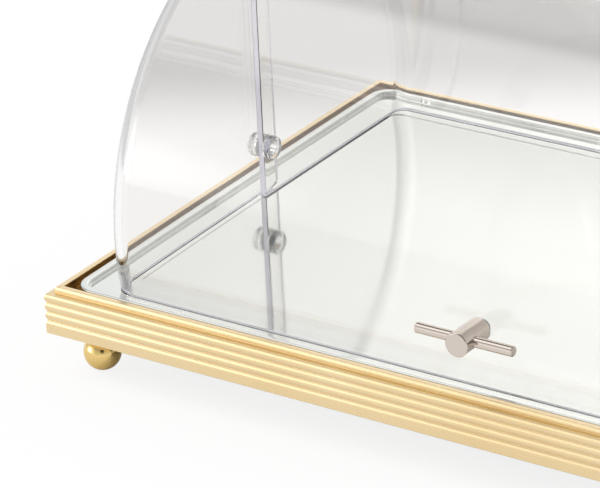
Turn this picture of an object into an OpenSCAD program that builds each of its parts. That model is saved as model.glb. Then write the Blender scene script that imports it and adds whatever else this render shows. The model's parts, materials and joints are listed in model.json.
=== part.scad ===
// Roll top display: a reeded frame on ball feet, a polished steel tray in it, and a
// two-part clear cover whose front half rolls back over the rear half.
// X runs along the front, Y to the back and Z up, from the surface it stands on.

/* [Tray] */
// Outside length of the tray rim
tray_l = 530; // [512:1:560]
// Outside depth of the tray rim
tray_w = 325; // [315:1:340]
// Thickness of the tray's sheet
tray_t = 1; // [0.8:0.1:1.2]
// Corner radius of the rim, seen from above
rim_corner_r = 13.5; // [12:0.5:18]
// Width of the flat rim
rim_w = 5; // [4.5:0.5:6]
// Height of the rim's turned down edge
skirt_h = 8.4; // [8:0.1:9]
// Drop from the rim to the step that the cover stands on
step_drop = 2.8; // [2.4:0.1:3.6]
// Width of that step
step_w = 21.5; // [20:0.5:23]
// Drop from that step to the tray's floor
well_drop = 0.5; // [0.4:0.1:1]
// Corner radius of the floor, seen from above
well_corner_r = 10; // [8:0.5:14]

/* [Frame] */
// Height of the rails above the table
stand_h = 26.2; // [25:0.2:31]
// Number of reeds on a rail's face
reed_count = 4; // [3:1:5]
// Height of one reed
reed_pitch = 5.5; // [5:0.1:5.8]
// Radius of a reed's round face
reed_r = 3.2; // [3:0.1:3.6]
// Height of the plain strip under the reeds
strip_h = 2.8; // [2.4:0.1:3.2]
// Distance of that strip behind the reeds' crests
strip_inset = 1.2; // [1:0.1:1.4]
// Distance from the reeds' crests to the raised lip
lip_inset = 4.4; // [4:0.1:5]
// Height of the lip above the reeded face
lip_h = 3.4; // [3:0.1:4]
// Width of the lip's top
lip_w = 4; // [3.5:0.1:4.5]
// Radius of the lip's upper edges
lip_edge_r = 0.8; // [0.4:0.1:1.2]
// Gap between the lip and the tray rim
rim_gap = 2.6; // [2:0.1:3.5]
// Reach of the shelf that the tray rim hangs on, from the crests
shelf_reach = 15; // [14:0.5:15]
// Thickness of the shelf and of the bottom flange
flange_t = 2; // [1.8:0.1:2.5]
// Reach of the bottom flange, from the crests
flange_reach = 14; // [13:0.5:15]
// Distance from the crests to the back of the web
web_back = 5; // [4.5:0.1:5.5]

/* [Feet] */
// Diameter of the ball
ball_d = 22; // [20:0.5:23]
// Diameter of the small flat that the ball stands on
foot_flat_d = 6; // [4:0.5:8]
// Diameter of the neck between ball and frame
neck_d = 9; // [8:0.5:10]
// Distance of the ball's centre from both outer faces
foot_inset = 22; // [20.5:0.5:24]
// Length of a corner plate's legs
plate_leg = 44; // [42:1:50]
// Width of a corner plate's legs at their ends
plate_end_w = 18; // [16:1:20]

/* [Cover] */
// Outside length of the front cover
cover_l = 492; // [488:1:500]
// Outside radius of the front cover
cover_r = 154.5; // [150:0.5:156]
// Wall thickness of both covers
cover_t = 4; // [3:0.1:4]
// Radius of the blend between drum and end wall, outside
blend_r = 16; // [12:0.5:20]
// Gap between the front cover and the rear cover inside it
cover_gap = 1; // [0.8:0.1:1.2]
// Reach of the front cover behind the pivot, where it overlaps the rear cover
front_overlap = 12; // [8:0.5:14]
// Reach of the rear cover in front of the pivot
rear_overlap = 5; // [4:0.5:6]
// Height of the pivot above the step in the tray
pivot_h = 30.4; // [28:0.2:32]
// Angle by which the front cover is drawn open
open_angle = 0; // [0:1:80]

/* [Pivot] */
// Diameter of the pivot pin
pin_d = 8; // [6:0.5:8]
// Diameter of the pin's head and of its cap
knob_d = 14; // [12:0.5:16]
// Thickness of the pin's head
head_t = 5; // [4:0.5:5]
// Thickness of the cap
cap_t = 4; // [3.5:0.5:5]

/* [Handle] */
// Diameter of the post
post_d = 12; // [11:0.5:14]
// Distance from the cover to the post's front end
post_l = 24; // [22:0.5:24]
// Diameter of the cross bar
bar_d = 6; // [5:0.5:7]
// Length of the cross bar
bar_l = 60; // [50:1:70]
// Distance of the bar's axis behind the post's front end
bar_inset = 9; // [7:0.5:10]
// Height of the handle above the pivot, as an angle
handle_angle = 2.2; // [1.5:0.1:4]

/* [Hidden] */
$fn = 96;

// Colours
gold = "#dcb871";
zinc = "#b9bcc0";
steel = "#b8b2a8";
polished = "#d6d9d5";
clear = [0.86, 0.92, 0.94, 0.35];
milky = [0.92, 0.93, 0.92, 0.8];

// Clearances
running = 0.05;
seat = 0.02;
past = 1;

// Frame
face_h = strip_h + reed_count * reed_pitch;
lip_in = lip_inset + lip_w;
rail_h = face_h + lip_h;
shelf_drop = 6;
shelf_v = face_h - shelf_drop;
web_front = reed_r - 0.5;
frame_l = tray_l + 2 * (rim_gap + lip_in);
frame_w = tray_w + 2 * (rim_gap + lip_in);
mitre_reach = shelf_reach + 5;

// Corner plates, their screws and the feet
plate_t = 2;
plate_gap = 0.5;
plate_z = stand_h + flange_t;
screw_r = 1.95;
screw_head_r = 3.5;
screw_head_h = 2.4;
screw_reach = (web_back + flange_reach) / 2;
screw_spots = [20, 37];
stud_r = 3;
ball_r = ball_d / 2;
ball_z = sqrt(ball_r * ball_r - foot_flat_d * foot_flat_d / 4);
stud_top = plate_z + plate_t + 7.5;
washer_t = 1.2;
washer_r = 6;
nut_af = 10;
nut_h = 5;

// Tray levels
shelf_z = stand_h + shelf_v;
rim_z = shelf_z + skirt_h;
step_z = rim_z - step_drop;
floor_z = step_z - well_drop;
hang = rim_w - tray_t;
rim_edge_r = 1;
well_l = tray_l - 2 * (rim_w + step_w);
well_w = tray_w - 2 * (rim_w + step_w);

// Cover
pivot_z = step_z + pivot_h;
rear_l = cover_l - 2 * (cover_t + cover_gap);
rear_r = cover_r - cover_t - cover_gap;
rear_blend_r = blend_r - cover_t - cover_gap;
ear_clearance = 0.3;
ear_r = pivot_h - ear_clearance;

// Pivot, measured along X from the middle
wall_in = rear_l / 2 - cover_t;
wall_out = cover_l / 2;
cap_play = 0.1;
cap_socket = 2;
pin_r = pin_d / 2;
knob_r = knob_d / 2;
knob_edge_r = 1.2;

// Handle, measured outwards from the pivot axis
pad_t = 1;
pad_r = 7;
post_end = cover_r + post_l;
post_start = cover_r + pad_t + seat;
bar_at = post_end - bar_inset;
inner_pad_start = sqrt(pow(cover_r - cover_t, 2) - pad_r * pad_r) - seat;
handle_screw_r = 2.5;
handle_screw_hole_r = 2.75;
handle_screw_end = bar_at - bar_d / 2 - 3;
handle_head_r = 4.5;
handle_head_h = 2.8;
edge = 0.5;

corner_names = ["front_left", "front_right", "back_left", "back_right"];

// Sign of each corner in X and Y
function corner_sign(name) = [
    name[len(name) - 4] == "l" ? -1 : 1,
    name[0] == "f" ? -1 : 1
];

// Flat outline with four round corners
module round_rect(l, w, r) {
    square([l - 2 * r, w], center = true);
    square([l, w - 2 * r], center = true);
    for (x = [-1, 1], y = [-1, 1])
        translate([x * (l / 2 - r), y * (w / 2 - r)])
            circle(r);
}

module round_plate(l, w, r, z0, z1) {
    translate([0, 0, z0])
        linear_extrude(height = z1 - z0)
            round_rect(l, w, r);
}

// Section through a pan's edge, from the middle of its corner radius outwards
module pan_edge(r, f, h) {
    translate([0, f])
        square([r, h - f]);
    square([r - f, h]);
    translate([r - f, f])
        intersection() {
            circle(f);
            translate([0, -f])
                square(f);
        }
}

// Pan with round corners and a round lower edge, filled, from its bottom up to h
module pan(l, w, r, f, h) {
    x = l / 2 - r;
    y = w / 2 - r;
    translate([-x, -y, 0])
        cube([2 * x, 2 * y, h]);
    for (turn = [0, 180])
        rotate([0, 0, turn]) {
            translate([0, y, 0])
                rotate([90, 0, 90])
                    linear_extrude(height = 2 * x, center = true)
                        pan_edge(r, f, h);
            translate([x, 0, 0])
                rotate([90, 0, 0])
                    linear_extrude(height = 2 * y, center = true)
                        pan_edge(r, f, h);
            translate([x, y, 0])
                rotate_extrude(angle = 90)
                    pan_edge(r, f, h);
            translate([-x, y, 0])
                rotate([0, 0, 90])
                    rotate_extrude(angle = 90)
                        pan_edge(r, f, h);
        }
}

// Section of a rail: distance in from the crests, and height
module rail_section() {
    intersection() {
        translate([-past, 0])
            square([reed_r + past, face_h]);
        for (i = [0 : reed_count - 1])
            translate([reed_r, strip_h + (i + 0.5) * reed_pitch])
                circle(reed_r);
    }
    translate([strip_inset, 0])
        square([web_back - strip_inset, strip_h]);
    translate([web_front, 0])
        square([web_back - web_front, face_h]);
    translate([web_front, 0])
        square([flange_reach - web_front, flange_t]);
    translate([lip_inset, shelf_v - flange_t])
        square([shelf_reach - lip_inset, flange_t]);
    lip_section();
}

module lip_section() {
    r = lip_edge_r;
    translate([lip_inset, shelf_v - flange_t])
        square([lip_w, rail_h - r - shelf_v + flange_t]);
    translate([lip_inset + r, shelf_v])
        square([lip_w - 2 * r, rail_h - shelf_v]);
    for (u = [lip_inset + r, lip_in - r])
        translate([u, rail_h - r])
            circle(r);
}

// Rail along X with its crests at y = 0 and its back towards +Y
module rail(l) {
    difference() {
        intersection() {
            rotate([90, 0, 90])
                linear_extrude(height = l + 2 * past, center = true)
                    rail_section();
            translate([0, 0, -past])
                linear_extrude(height = rail_h + 2 * past)
                    polygon([
                        [-l / 2 - past, -past],
                        [l / 2 + past, -past],
                        [l / 2 - mitre_reach, mitre_reach],
                        [mitre_reach - l / 2, mitre_reach]
                    ]);
        }
        for (s = [-1, 1], d = screw_spots)
            translate([s * (l / 2 - d), screw_reach, -past])
                cylinder(h = flange_t + 2 * past, r = screw_r + running);
    }
}

module rail_front() {
    color(gold)
        translate([0, -frame_w / 2, stand_h])
            rail(frame_l);
}

module rail_back() {
    color(gold)
        translate([0, frame_w / 2, stand_h])
            rotate([0, 0, 180])
                rail(frame_l);
}

module rail_left() {
    color(gold)
        translate([-frame_l / 2, 0, stand_h])
            rotate([0, 0, -90])
                rail(frame_w);
}

module rail_right() {
    color(gold)
        translate([frame_l / 2, 0, stand_h])
            rotate([0, 0, 90])
                rail(frame_w);
}

// Puts a piece that is drawn for the front left corner at any corner.
// In it, x and y run inwards from the frame's outer corner.
module at_corner(name) {
    s = corner_sign(name);
    translate([s[0] * frame_l / 2, s[1] * frame_w / 2, 0])
        mirror([s[0] > 0 ? 1 : 0, 0, 0])
            mirror([0, s[1] > 0 ? 1 : 0, 0])
                children();
}

// Places of the screws of one corner
module at_screws() {
    for (d = screw_spots) {
        translate([d, screw_reach, 0])
            children();
        translate([screw_reach, d, 0])
            children();
    }
}

module corner_plate(name) {
    start = web_back + plate_gap;
    color(zinc)
        at_corner(name)
            translate([0, 0, plate_z])
                difference() {
                    linear_extrude(height = plate_t)
                        polygon([
                            [start, start],
                            [plate_leg, start],
                            [plate_leg, plate_end_w],
                            [plate_end_w, plate_leg],
                            [start, plate_leg]
                        ]);
                    at_screws()
                        translate([0, 0, -past])
                            cylinder(h = plate_t + 2 * past, r = screw_r + running);
                    translate([foot_inset, foot_inset, -past])
                        cylinder(h = plate_t + 2 * past, r = stud_r + running);
                }
}

module plate_screws() {
    color(zinc)
        for (name = corner_names)
            at_corner(name)
                at_screws() {
                    translate([0, 0, stand_h])
                        cylinder(h = plate_z + plate_t - stand_h + screw_head_h / 2, r = screw_r);
                    translate([0, 0, plate_z + plate_t])
                        cylinder(h = screw_head_h, r = screw_head_r);
                }
}

// Ball, neck and stud turned in one
module ball_foot(name) {
    color(gold)
        at_corner(name)
            translate([foot_inset, foot_inset, 0]) {
                intersection() {
                    translate([0, 0, ball_z])
                        sphere(r = ball_r);
                    translate([-ball_r, -ball_r, 0])
                        cube([ball_d, ball_d, ball_z + ball_r]);
                }
                translate([0, 0, ball_z])
                    cylinder(h = plate_z - ball_z, d = neck_d);
                translate([0, 0, ball_z])
                    cylinder(h = stud_top - ball_z, r = stud_r);
            }
}

module foot_washers() {
    color(zinc)
        for (name = corner_names)
            at_corner(name)
                translate([foot_inset, foot_inset, plate_z + plate_t])
                    difference() {
                        cylinder(h = washer_t, r = washer_r);
                        translate([0, 0, -past])
                            cylinder(h = washer_t + 2 * past, r = stud_r + running);
                    }
}

module foot_nuts() {
    color(zinc)
        for (name = corner_names)
            at_corner(name)
                translate([foot_inset, foot_inset, plate_z + plate_t + washer_t])
                    difference() {
                        cylinder(h = nut_h, r = nut_af / sqrt(3), $fn = 6);
                        translate([0, 0, -past])
                            cylinder(h = nut_h + 2 * past, r = stud_r + running);
                    }
}

// Tray pressed from one sheet: rim with its edge turned down, step for the cover and floor
module tray() {
    color(polished)
        difference() {
            translate([0, 0, rim_z])
                mirror([0, 0, 1])
                    pan(tray_l, tray_w, rim_corner_r, rim_edge_r, skirt_h);
            round_plate(tray_l - 2 * rim_w, tray_w - 2 * rim_w, rim_corner_r - rim_w,
                step_z, rim_z + past);
            round_plate(well_l, well_w, well_corner_r, floor_z, step_z + past);
            tray_underside();
        }
}

// Space under the sheet, inside the turned down edge
module tray_underside() {
    difference() {
        round_plate(tray_l - 2 * tray_t, tray_w - 2 * tray_t, rim_corner_r - tray_t,
            shelf_z - past, rim_z - tray_t);
        round_plate(tray_l - 2 * hang, tray_w - 2 * hang, rim_corner_r - hang,
            step_z - tray_t, rim_z);
        round_plate(well_l + 2 * tray_t, well_w + 2 * tray_t, well_corner_r + tray_t,
            floor_z - tray_t, step_z);
    }
}

// Closed drum about X whose flat ends blend into its round wall
module drum(l, r, blend) {
    rotate([0, 90, 0])
        rotate_extrude() {
            translate([0, -l / 2])
                square([r - blend, l]);
            translate([0, blend - l / 2])
                square([r, l - 2 * blend]);
            for (s = [-1, 1])
                translate([r - blend, s * (l / 2 - blend)])
                    circle(blend);
        }
}

// Wall of one cover about the pivot axis, between y0 and y1 and above the step
module cover_wall(l, r, blend, y0, y1) {
    intersection() {
        difference() {
            drum(l, r, blend);
            drum(l - 2 * cover_t, r - cover_t, blend - cover_t);
        }
        translate([-l, y0, -pivot_h])
            cube([2 * l, y1 - y0, 2 * r]);
    }
}

// Bore for the pivot pins through both end walls
module pivot_bore() {
    rotate([0, 90, 0])
        cylinder(h = cover_l + 2 * past, r = pin_r + running, center = true);
}

module rear_cover() {
    color(clear)
        translate([0, 0, pivot_z])
            difference() {
                cover_wall(rear_l, rear_r, rear_blend_r, -rear_overlap, rear_r + past);
                pivot_bore();
            }
}

// Turns a piece of the front cover about the pivot as it opens
module on_front_cover() {
    translate([0, 0, pivot_z])
        rotate([-open_angle, 0, 0])
            children();
}

// Points z outwards from the pivot axis, through the middle of the handle
module along_handle() {
    on_front_cover()
        rotate([90 - handle_angle, 0, 0])
            children();
}

module front_cover() {
    color(clear)
        difference() {
            on_front_cover()
                difference() {
                    cover_wall(cover_l, cover_r, blend_r, -cover_r - past, front_overlap);
                    pivot_bore();
                    ear_relief();
                }
            along_handle()
                translate([0, 0, inner_pad_start])
                    cylinder(h = cover_t + 2 * past, r = handle_screw_hole_r);
        }
}

// Rounds the end walls' lower back corners, so that they clear the step
module ear_relief() {
    difference() {
        translate([-cover_l, 0, -pivot_h - past])
            cube([2 * cover_l, front_overlap + past, pivot_h + past]);
        rotate([0, 90, 0])
            cylinder(h = 2 * cover_l + past, r = ear_r, center = true);
    }
}

// Puts a piece that is drawn along +Z at the left (-1) or right (1) pivot
module at_pivot(side) {
    translate([0, 0, pivot_z])
        rotate([0, side * 90, 0])
            children();
}

// Disc with a round outer edge on its far side
module knob(z0, z1, r) {
    translate([0, 0, z0])
        rotate_extrude() {
            square([r - knob_edge_r, z1 - z0]);
            square([r, z1 - z0 - knob_edge_r]);
            translate([r - knob_edge_r, z1 - z0 - knob_edge_r])
                intersection() {
                    circle(knob_edge_r);
                    square(knob_edge_r);
                }
        }
}

module pivot_pin(side) {
    color(clear)
        at_pivot(side) {
            translate([0, 0, wall_in])
                mirror([0, 0, 1])
                    knob(0, head_t, knob_r);
            translate([0, 0, wall_in - head_t / 2])
                cylinder(h = wall_out + cap_play + cap_socket - wall_in + head_t / 2, r = pin_r);
        }
}

module pivot_washer(side) {
    color(milky)
        at_pivot(side)
            translate([0, 0, rear_l / 2])
                difference() {
                    cylinder(h = cover_gap - cap_play, r = knob_r);
                    translate([0, 0, -past])
                        cylinder(h = cover_gap + 2 * past, r = pin_r + running);
                }
}

module pivot_cap(side) {
    color(clear)
        at_pivot(side)
            difference() {
                knob(wall_out + cap_play, wall_out + cap_play + cap_t, knob_r);
                translate([0, 0, wall_out - past])
                    cylinder(h = past + cap_play + cap_socket + seat, r = pin_r + seat);
            }
}

// Round bar along z with a small bevel on its ends
module bevelled_rod(z0, z1, r) {
    rotate_extrude()
        polygon([
            [0, z0], [r - edge, z0], [r, z0 + edge],
            [r, z1 - edge], [r - edge, z1], [0, z1]
        ]);
}

module handle_post() {
    color(steel)
        along_handle()
            difference() {
                bevelled_rod(post_start, post_end, post_d / 2);
                translate([0, 0, bar_at])
                    rotate([0, 90, 0])
                        cylinder(h = post_d + 2 * past, r = bar_d / 2 + seat, center = true);
                translate([0, 0, post_start - past])
                    cylinder(h = handle_screw_end - post_start + 2 * past, r = handle_screw_r + running);
            }
}

module handle_bar() {
    color(steel)
        along_handle()
            translate([0, 0, bar_at])
                rotate([0, 90, 0])
                    bevelled_rod(-bar_l / 2, bar_l / 2, bar_d / 2);
}

module handle_screw() {
    head_start = inner_pad_start - pad_t - handle_head_h;
    color(zinc)
        along_handle() {
            translate([0, 0, head_start])
                cylinder(h = handle_head_h, r = handle_head_r);
            translate([0, 0, head_start])
                cylinder(h = handle_screw_end - head_start, r = handle_screw_r);
        }
}

// Soft washer under the post or under the screw's head
module handle_washer(z0) {
    color(milky)
        along_handle()
            translate([0, 0, z0])
                difference() {
                    cylinder(h = pad_t, r = pad_r);
                    translate([0, 0, -past])
                        cylinder(h = pad_t + 2 * past, r = handle_screw_hole_r);
                }
}

module handle_washer_inner() {
    handle_washer(inner_pad_start - pad_t);
}

module handle_washer_outer() {
    handle_washer(cover_r + seat);
}

rail_front();
rail_back();
rail_left();
rail_right();
corner_plate("front_left");  // corner_plate_front_left
corner_plate("front_right");  // corner_plate_front_right
corner_plate("back_left");  // corner_plate_back_left
corner_plate("back_right");  // corner_plate_back_right
ball_foot("front_left");  // ball_foot_front_left
ball_foot("front_right");  // ball_foot_front_right
ball_foot("back_left");  // ball_foot_back_left
ball_foot("back_right");  // ball_foot_back_right
plate_screws();
foot_washers();
foot_nuts();
tray();
rear_cover();
pivot_pin(-1);  // pivot_pin_left
pivot_pin(1);  // pivot_pin_right
pivot_washer(-1);  // pivot_washer_left
pivot_washer(1);  // pivot_washer_right
pivot_cap(-1);  // pivot_cap_left
pivot_cap(1);  // pivot_cap_right
front_cover();
handle_post();
handle_bar();
handle_screw();
handle_washer_inner();
handle_washer_outer();
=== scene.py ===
"""Roll top display: a reeded gold frame on ball feet, a polished tray and a clear cover that rolls open.

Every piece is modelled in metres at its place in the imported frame. X runs along the front and Z up.
"""
import json
import math

import bmesh
import bpy
from bpy.props import FloatProperty, FloatVectorProperty, IntProperty, PointerProperty
from bpy.types import Operator, Panel, PropertyGroup
from mathutils import Matrix, Vector


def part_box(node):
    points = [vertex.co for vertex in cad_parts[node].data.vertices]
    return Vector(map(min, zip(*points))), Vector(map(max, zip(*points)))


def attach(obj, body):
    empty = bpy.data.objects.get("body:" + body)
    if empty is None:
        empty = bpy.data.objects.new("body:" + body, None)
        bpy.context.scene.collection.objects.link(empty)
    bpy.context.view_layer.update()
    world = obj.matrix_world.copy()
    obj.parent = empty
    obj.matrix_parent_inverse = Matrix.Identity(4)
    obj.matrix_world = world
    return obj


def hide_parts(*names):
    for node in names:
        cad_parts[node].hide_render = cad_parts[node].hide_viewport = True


bl_info = {
    "name": "Roll top display",
    "version": (1, 0, 0),
    "blender": (4, 5, 0),
    "location": "View3D > Sidebar > Roll top",
    "description": "Models a roll top food display with its frame, tray, covers and handle",
    "category": "Object",
}

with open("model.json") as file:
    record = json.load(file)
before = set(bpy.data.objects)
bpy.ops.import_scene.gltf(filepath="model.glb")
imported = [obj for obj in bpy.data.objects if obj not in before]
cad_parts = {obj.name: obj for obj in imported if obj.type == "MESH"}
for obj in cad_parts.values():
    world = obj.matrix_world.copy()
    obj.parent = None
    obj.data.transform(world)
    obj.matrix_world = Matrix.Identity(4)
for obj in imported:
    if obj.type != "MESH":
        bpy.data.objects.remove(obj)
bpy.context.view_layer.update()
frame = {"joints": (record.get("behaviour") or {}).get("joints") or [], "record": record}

MM = 0.001
NEAR = 0.002 * MM
X, Y, Z = Vector((1, 0, 0)), Vector((0, 1, 0)), Vector((0, 0, 1))

# Places and main sizes, from the frame
RAIL_LOW, RAIL_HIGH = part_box("rail_front")
SIDE_LOW, SIDE_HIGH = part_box("rail_left")
PLATE_LOW, PLATE_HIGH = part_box("corner_plate_front_left")
FOOT_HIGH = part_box("ball_foot_front_left")[1]
WASHER_LOW, WASHER_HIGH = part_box("foot_washers")
NUT_LOW, NUT_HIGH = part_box("foot_nuts")
SCREW_LOW, SCREW_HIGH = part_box("plate_screws")
TRAY_LOW, TRAY_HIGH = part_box("tray")
FRONT_LOW, FRONT_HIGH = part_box("front_cover")
REAR_LOW, REAR_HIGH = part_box("rear_cover")
PIN_LOW, PIN_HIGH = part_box("pivot_pin_right")
PIVOT_WASHER_LOW, PIVOT_WASHER_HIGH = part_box("pivot_washer_right")
CAP_LOW, CAP_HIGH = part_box("pivot_cap_right")
BAR_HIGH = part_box("handle_bar")[1]
PIVOT = Vector(next(joint["pos_m"] for joint in frame["joints"] if joint["name"] == "cover_roll"))
BODY_OF = {name: body for body, names in frame["record"]["behaviour"]["bodies"].items() for name in names}
CORNERS = {"front_left": (-1, -1), "front_right": (1, -1), "back_right": (1, 1), "back_left": (-1, 1)}

QUARTER = math.pi / 2
# Gap left where two clear faces would lie in one plane, and gap between pieces that fit into each other
SEAT, EASE = 0.06 * MM, 0.05 * MM
# Radius of the hole that a screw passes through, as a multiple of the screw's own
LOOSE = 1.1
# Broken edges of pressed and of turned pieces, and the chamfer at the tip of a screw or pin
PRESSED_EDGE, TURNED_EDGE, TIP = 0.2 * MM, 0.12 * MM, 0.4 * MM
# Angles by which each screw and each nut is turned further than the one before
SCREW_TURN, NUT_TURN = 0.7, 0.4
# Steps of round forms
LATHE_STEPS, DRILL_STEPS, DRUM_STEPS = 64, 48, 192
ARC_STEPS, REED_STEPS, BLEND_STEPS, BALL_STEPS = 8, 10, 20, 28
CORNER_STEPS, BEND_STEPS = 12, 5


def linear(hex_colour):
    """Turns an sRGB hex colour to the linear one that the shaders take."""
    parts = [int(hex_colour[i:i + 2], 16) / 255 for i in (0, 2, 4)]
    return [c / 12.92 if c <= 0.04045 else ((c + 0.055) / 1.055) ** 2.4 for c in parts] + [1.0]


def size(name, description, default):
    """A length that a user may change, written here in millimetres."""
    return FloatProperty(name=name, description=description, default=default * MM, unit="LENGTH", precision=5)


def tint(name, description, hex_colour):
    """A colour that a user may change."""
    return FloatVectorProperty(
        name=name, description=description, subtype="COLOR", size=4, min=0, max=1, default=linear(hex_colour)
    )


class FrameSizes(PropertyGroup):
    """Sizes of the reeded frame and of what holds its corners."""

    reed_count: IntProperty(name="Reeds", description="Number of reeds on a rail's face", default=4, min=1)
    reed_pitch: size("Reed height", "Height of one reed", 5.5)
    reed_radius: size("Reed radius", "Radius of a reed's round face", 4.2)
    strip: size("Strip", "Height of the plain strip under the reeds", 2.8)
    strip_edge: size("Strip edge", "Radius of the strip's lower edge", 0.8)
    lip_inset: size("Lip inset", "Distance from the reeds' crests to the raised lip", 4.4)
    lip_width: size("Lip width", "Width of the lip's top", 4.0)
    lip_edge: size("Lip edge", "Radius of the lip's upper edges", 0.5)
    lip_round: size("Lip round", "Radius of the lip's front face", 5.0)
    lip_lean: FloatProperty(
        name="Lip lean", description="Angle at which that face leans back at its top",
        default=math.radians(30), subtype="ANGLE",
    )
    shelf_drop: size("Shelf drop", "Drop from the reeded face to the shelf that the tray stands on", 6.0)
    shelf_reach: size("Shelf reach", "Reach of that shelf from the crests", 15.0)
    flange: size("Flange thickness", "Thickness of the shelf and of the bottom flange", 2.0)
    flange_reach: size("Flange reach", "Reach of the bottom flange from the crests", 14.0)
    web_back: size("Web back", "Distance from the crests to the back of the web", 5.0)
    mitre_edge: size("Mitre edge", "Width of the broken edges along the mitres", 0.15)
    screw_hole: size("Screw hole", "Radius of the holes for the plate screws", 2.0)
    screw_near: size("Near screws", "Distance of a corner's near screws from the frame's corner", 20.0)
    screw_far: size("Far screws", "Distance of a corner's far screws from the frame's corner", 37.0)
    screw_reach: size("Screw reach", "Distance of the screws from the crests", 9.5)
    plate_end: size("Plate end", "Width of a corner plate's legs at their ends, from the crests", 18.0)
    plate_hole: size("Plate hole", "Radius of the hole for a foot's stud", 3.05)


class FootSizes(PropertyGroup):
    """Sizes of the ball feet and of their nuts, washers and screws."""

    inset: size("Foot inset", "Distance of a ball's centre from both outer faces", 22.0)
    ball: size("Ball radius", "Radius of the ball", 11.0)
    flat: size("Foot flat", "Radius of the small flat that the ball stands on", 3.0)
    neck: size("Neck radius", "Radius of the neck under the frame", 4.5)
    collar: size("Collar", "Radius of the round where the neck leaves the ball", 0.9)
    stud: size("Stud radius", "Radius of the threaded stud", 3.0)
    thread: size("Thread pitch", "Distance between the stud's thread crests", 1.0)
    nut: size("Nut flats", "Width of a nut across its flats", 10.0)
    washer: size("Washer radius", "Radius of the washer under a nut", 6.0)
    screw: size("Screw radius", "Radius of a plate screw's shank", 1.95)
    screw_head: size("Screw head", "Radius of a plate screw's head", 3.5)


class TraySizes(PropertyGroup):
    """Sizes of the polished tray."""

    sheet: size("Sheet", "Thickness of the tray's sheet", 1.0)
    corner: size("Rim corner", "Corner radius of the rim", 13.5)
    rim: size("Rim", "Width of the rim", 5.0)
    drop: size("Step drop", "Drop from the rim to the step that the cover stands on", 2.8)
    step: size("Step", "Width of that step", 21.5)
    sink: size("Floor drop", "Drop from that step to the floor", 0.5)
    well_corner: size("Floor corner", "Corner radius of the floor", 10.0)
    rim_edge: size("Rim edge", "Radius of the rim's two upper edges", 1.0)
    bend: size("Bend", "Radius where the rim's inner wall meets the step", 0.8)
    crease: size("Crease", "Radius of the bends around the floor", 0.24)
    cut_edge: size("Cut edge", "Radius of the edges of the turned down sheet", 0.2)


class CoverSizes(PropertyGroup):
    """Sizes of the two clear covers and of their pivots."""

    wall: size("Wall", "Thickness of both covers' walls", 4.0)
    blend: size("Blend", "Radius between drum and end wall on the front cover", 16.0)
    nesting: size("Nesting", "Distance of the rear cover inside the front one", 5.0)
    edge: size("Edge", "Radius of the covers' polished edges", 0.45)
    bore: size("Bore", "Radius of the hole for a pivot pin", 4.05)
    knob: size("Knob", "Radius of a pivot pin's head and of its cap", 7.0)
    knob_edge: size("Knob edge", "Radius of the round edge of head and cap", 1.2)
    head: size("Head", "Thickness of a pivot pin's head", 5.0)
    pin: size("Pin", "Radius of a pivot pin", 4.0)
    socket: size("Socket", "Depth of the cap's socket for the pin", 2.0)


class HandleSizes(PropertyGroup):
    """Sizes of the handle on the front cover."""

    post: size("Post", "Radius of the post", 6.9)
    length: size("Reach", "Distance from the cover to the post's front end", 24.0)
    bar: size("Bar", "Radius of the cross bar", 3.0)
    inset: size("Bar inset", "Distance of the bar's axis behind the post's front end", 9.0)
    edge: size("Edge", "Bevel on the ends of post and bar", 0.5)
    pad: size("Washer", "Radius of the soft washers, the outer one sunk into the post's foot", 4.8)
    pad_thickness: size("Washer thickness", "Thickness of the soft washers", 0.8)
    screw: size("Screw", "Radius of the screw", 2.5)
    screw_head: size("Screw head", "Radius of the screw's head", 3.6)
    head_height: size("Head height", "Height of the screw's head", 1.8)
    angle: FloatProperty(
        name="Height angle", description="Height of the handle above the pivot, as an angle",
        default=math.radians(2.2), subtype="ANGLE",
    )


class Finishes(PropertyGroup):
    """Colours of the materials."""

    gold: tint("Gold", "Anodised gold of the rails", "F0D8A8")
    gold_deep: tint("Deep gold", "Anodised gold in the darker streaks", "E8CA92")
    ball: tint("Ball", "Plated gold of the feet", "ECCE88")
    zinc: tint("Zinc", "Zinc plating", "B4B8BB")
    steel: tint("Steel", "Brushed stainless steel", "D3C8BE")
    mirror: tint("Mirror", "Polished stainless steel of the tray", "E0E2DF")
    clear: tint("Clear", "Light that long paths through the clear plastic keep", "8088CC")
    sawn: tint("Sawn edge", "Satin edges where the clear covers are sawn apart", "F7F4FF")
    nylon: tint("Nylon", "Milky nylon of the washers", "E8EBEA")
    paper: tint("Paper", "Matt white floor", "F2F2F0")


GROUPS = {
    "rolltop_frame": FrameSizes,
    "rolltop_feet": FootSizes,
    "rolltop_tray": TraySizes,
    "rolltop_cover": CoverSizes,
    "rolltop_handle": HandleSizes,
    "rolltop_finish": Finishes,
}


# Materials

# Where most of a noise's values lie
SPREAD = {"From Min": 0.3, "From Max": 0.7}
SAN_IOR, NYLON_IOR = 1.57, 1.53
WHITE = (1, 1, 1, 1)


def add_node(tree, kind, inputs=None, **settings):
    """Adds one shader node. An input given a socket is linked to it, and any other takes the value."""
    made = tree.nodes.new("ShaderNode" + kind)
    for key, value in settings.items():
        setattr(made, key, value)
    for key, value in (inputs or {}).items():
        if isinstance(value, bpy.types.NodeSocket):
            tree.links.new(value, made.inputs[key])
        else:
            made.inputs[key].default_value = value
    return made


def material(name):
    """Names a material that a function draws at its first use, once for each axis of its grain."""

    def named(draw):
        def finish(*along):
            full_name = " along ".join((name, *along))
            if full_name not in bpy.data.materials:
                made = bpy.data.materials.new(full_name)
                made.use_nodes = True
                tree = made.node_tree
                tree.nodes.clear()
                place = add_node(tree, "TexCoord").outputs["Object"]
                ends = draw(tree, place, bpy.context.scene.rolltop_finish, *along)
                add_node(tree, "OutputMaterial", ends)
            return bpy.data.materials[full_name]

        return finish

    return named


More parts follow.
